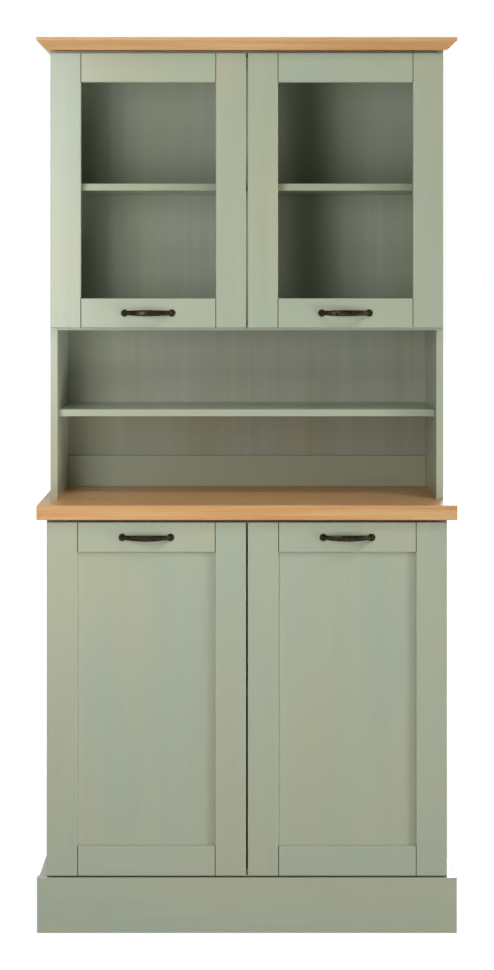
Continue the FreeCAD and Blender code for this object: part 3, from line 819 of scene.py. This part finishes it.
# %% Handles
def cast_handle(node):
    low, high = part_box(node)
    radius = (high.z - low.z) / 2
    half_span = (high.x - low.x) / 2 - radius
    middle = Vector(((low.x + high.x) / 2, high.y, (low.z + high.z) / 2))
    shape = bmesh.new()
    for side in (-1, 1):
        turned_rosette(shape, middle + Vector((side * half_span, 0, 0)), radius)
    sunk = rosette_height / 2
    sag = high.y - low.y - sunk - bow_thickness / 2
    swept_bow(shape, middle - Vector((0, sunk, 0)), half_span, sag)
    bmesh.ops.recalc_face_normals(shape, faces=shape.faces)
    mesh = bpy.data.meshes.new(node + "_cast")
    shape.to_mesh(mesh)
    shape.free()
    mesh.shade_smooth()
    mesh.materials.append(shared_finish["bronze"])
    made = link_object(node + "_cast", mesh)
    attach(made, body_of[node])
    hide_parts(node)
    return made


for node in sorted(handle_nodes):
    made = cast_handle(node)
    print(made.name, len(made.data.polygons), "faces")

# %% [markdown]
# Screws, bolts and nails. Every hinge has two screws in its cup's ears, two in its wing plate and
# two on its arm, every handle is held by two bolts from the back of its rail, and thin nails hold
# the back panels in their rebates.
# A head is a short cone, with a cross recess on screws and bolts and none on nails. The same head
# repeats dozens of times, so one Geometry Nodes tree places it: it takes loose points that know
# which way they face, puts a head on each, and gives each head its own turn from a fixed seed,
# because no two real screws stop at the same angle.

# %% A tree that sets screw heads on points
# The radius of a head's flat top and the length of its recess, as shares of the head's radius
crown_share, recess_length_share = 0.82, 1.1
head_sides, turn_seed = 24, 5


def socket_id(tree, name):
    return next(item.identifier for item in tree.interface.items_tree if item.name == name)


def screw_head_tree():
    tree = bpy.data.node_groups.new("screw_heads", "GeometryNodeTree")
    tree.interface.new_socket("Points", in_out="INPUT", socket_type="NodeSocketGeometry")
    for name in ("Head Radius", "Head Height", "Recess Width"):
        tree.interface.new_socket(name, in_out="INPUT", socket_type="NodeSocketFloat")
    tree.interface.new_socket("Crossed", in_out="INPUT", socket_type="NodeSocketBool")
    tree.interface.new_socket("Finish", in_out="INPUT", socket_type="NodeSocketMaterial")
    tree.interface.new_socket("Heads", in_out="OUTPUT", socket_type="NodeSocketGeometry")
    given = add(tree, "NodeGroupInput").outputs
    crown = add(tree, "ShaderNodeMath", {0: given["Head Radius"], 1: crown_share},
                operation="MULTIPLY")
    plain = add(tree, "GeometryNodeMeshCone",
                {"Vertices": head_sides, "Radius Top": crown.outputs[0],
                 "Radius Bottom": given["Head Radius"], "Depth": given["Head Height"]})
    reach = add(tree, "ShaderNodeMath", {0: given["Head Radius"], 1: recess_length_share},
                operation="MULTIPLY")
    bars = []
    for order in ((reach.outputs[0], given["Recess Width"]),
                  (given["Recess Width"], reach.outputs[0])):
        size = add(tree, "ShaderNodeCombineXYZ", {"X": order[0], "Y": order[1],
                                                  "Z": given["Head Height"]})
        up = add(tree, "ShaderNodeCombineXYZ", {"Z": given["Head Height"]})
        bar = add(tree, "GeometryNodeMeshCube", {"Size": size.outputs[0]})
        bars.append(add(tree, "GeometryNodeTransform", {"Geometry": bar.outputs["Mesh"],
                                                        "Translation": up.outputs[0]}))
    crossed = add(tree, "GeometryNodeMeshBoolean", {"Mesh 1": plain.outputs["Mesh"]},
                  operation="DIFFERENCE")
    for bar in bars:
        tree.links.new(bar.outputs["Geometry"], crossed.inputs["Mesh 2"])
    head = add(tree, "GeometryNodeSwitch", {"Switch": given["Crossed"],
                                            "False": plain.outputs["Mesh"],
                                            "True": crossed.outputs["Mesh"]},
               input_type="GEOMETRY")
    facing = add(tree, "GeometryNodeInputNamedAttribute", {"Name": "facing"},
                 data_type="FLOAT_VECTOR")
    upright = add(tree, "FunctionNodeAlignRotationToVector",
                  {"Vector": facing.outputs["Attribute"]}, axis="Z")
    chance = add(tree, "FunctionNodeRandomValue", {"Seed": turn_seed}, data_type="FLOAT")
    turn = add(tree, "ShaderNodeMath", {0: chance.outputs[1], 1: math.pi},
               operation="MULTIPLY")
    spin = add(tree, "FunctionNodeAxisAngleToRotation", {"Axis": (0, 0, 1),
                                                         "Angle": turn.outputs[0]})
    turned = add(tree, "FunctionNodeRotateRotation", {"Rotation": upright.outputs[0],
                                                      "Rotate By": spin.outputs[0]},
                 rotation_space="LOCAL")
    placed = add(tree, "GeometryNodeInstanceOnPoints", {"Points": given["Points"],
                                                        "Instance": head.outputs["Output"],
                                                        "Rotation": turned.outputs[0]})
    real = add(tree, "GeometryNodeRealizeInstances", {"Geometry": placed.outputs[0]})
    finished = add(tree, "GeometryNodeSetMaterial", {"Geometry": real.outputs[0],
                                                     "Material": given["Finish"]})
    output = add(tree, "NodeGroupOutput")
    tree.links.new(finished.outputs[0], output.inputs["Heads"])
    return tree


head_tree = screw_head_tree()


def fasteners(name, body, places, head_mm, slot):
    """One mesh of heads for a body. A place is a point and the way that its head faces. A head
    is given by its radius, its height and the width of its recess, which is 0 for none."""
    radius_mm, height_mm, recess_mm = head_mm
    mesh = bpy.data.meshes.new(name + "_points")
    mesh.from_pydata([point for point, _ in places], [], [])
    facing = mesh.attributes.new("facing", "FLOAT_VECTOR", "POINT")
    for value, (_, way) in zip(facing.data, places):
        value.vector = way
    points = link_object(name + "_points", mesh)
    heads = points.modifiers.new("screw_heads", "NODES")
    heads.node_group = head_tree
    settings = {"Head Radius": radius_mm * MILLIMETRE, "Head Height": height_mm * MILLIMETRE,
                "Recess Width": recess_mm * MILLIMETRE, "Crossed": recess_mm > 0,
                "Finish": shared_finish[slot]}
    for label, value in settings.items():
        heads[socket_id(head_tree, label)] = value
    seen = points.evaluated_get(bpy.context.evaluated_depsgraph_get())
    made = link_object(name, bpy.data.meshes.new_from_object(seen))
    bpy.data.objects.remove(points)
    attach(made, body)
    print(made.name, len(places), "heads,", len(made.data.polygons), "faces")


# %% Where the screws sit
cup_screw_mm, arm_screw_mm, handle_bolt_mm = (3.4, 0.3, 1.0), (3.2, 0.4, 1.0), (3.8, 2.2, 1.2)
hinge_end_distance = 100.0 * MILLIMETRE
ear_screw_reach = 24.0 * MILLIMETRE
wing_screw_reach = 21.0 * MILLIMETRE
wing_thickness, arm_rise = 3.0 * MILLIMETRE, 13.0 * MILLIMETRE
wing_back = 52.0 * MILLIMETRE
arm_screw_backs = (24.0 * MILLIMETRE, 46.0 * MILLIMETRE)
BACK = (0, 1, 0)
SIDES = (("left", -1), ("right", 1))

hinge_places = []
for level, board in (("lower", "base"), ("upper", "hutch")):
    for side, sign in SIDES:
        stile_low, stile_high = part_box(f"{level}_hinge_stile_{side}")
        cups_low, cups_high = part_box(f"{level}_hinge_cups_{side}")
        side_low, side_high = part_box(f"{board}_side_{side}")
        wall_x = side_high.x if sign < 0 else side_low.x
        inward = (-sign, 0, 0)
        heights = (stile_low.z + hinge_end_distance, stile_high.z - hinge_end_distance)
        ears = []
        for z in heights:
            for up in (-1, 1):
                ears.append((((cups_low.x + cups_high.x) / 2, cups_high.y,
                              z + up * ear_screw_reach), BACK))
                hinge_places.append(((wall_x - sign * wing_thickness, side_low.y + wing_back,
                                      z + up * wing_screw_reach), inward))
            for back in arm_screw_backs:
                hinge_places.append(((wall_x - sign * arm_rise, side_low.y + back, z), inward))
        body = f"{level}_{side}_door"
        fasteners(f"{body}_cup_screws", body, ears, cup_screw_mm, "steel")
        low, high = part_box(f"{level}_handle_{side}")
        radius = (high.z - low.z) / 2
        bolts = [((x, stile_high.y, (low.z + high.z) / 2), BACK)
                 for x in (low.x + radius, high.x - radius)]
        fasteners(f"{body}_handle_bolts", body, bolts, handle_bolt_mm, "steel")
fasteners("hinge_arm_screws", "cabinet", hinge_places, arm_screw_mm, "steel")

# %% Nails round the back panels
nail_edge = 4.0 * MILLIMETRE
nail_step = 150.0 * MILLIMETRE
nail_head_mm = (1.6, 0.8, 0.0)


def nails_round(node):
    """Places along the four edges of a back panel, about one nail step apart."""
    low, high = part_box(node)
    across = max(2, round((high.x - low.x - 2 * nail_edge) / nail_step))
    upright = max(2, round((high.z - low.z - 2 * nail_edge) / nail_step))
    x0, x1, z0, z1 = low.x + nail_edge, high.x - nail_edge, low.z + nail_edge, high.z - nail_edge
    places = {(round(x0 + (x1 - x0) * k / across, 5), z) for k in range(across + 1)
              for z in (z0, z1)}
    places |= {(x, round(z0 + (z1 - z0) * k / upright, 5)) for k in range(1, upright)
               for x in (x0, x1)}
    return [((x, high.y, z), BACK) for x, z in sorted(places)]


nail_places = nails_round("base_back_panel") + nails_round("hutch_back_panel")
fasteners("back_panel_nails", "cabinet", nail_places, nail_head_mm, "steel")

# %% Sizes for the record
low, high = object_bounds()
print("visual box", [round(v * 1000, 1) for v in high - low], "mm")
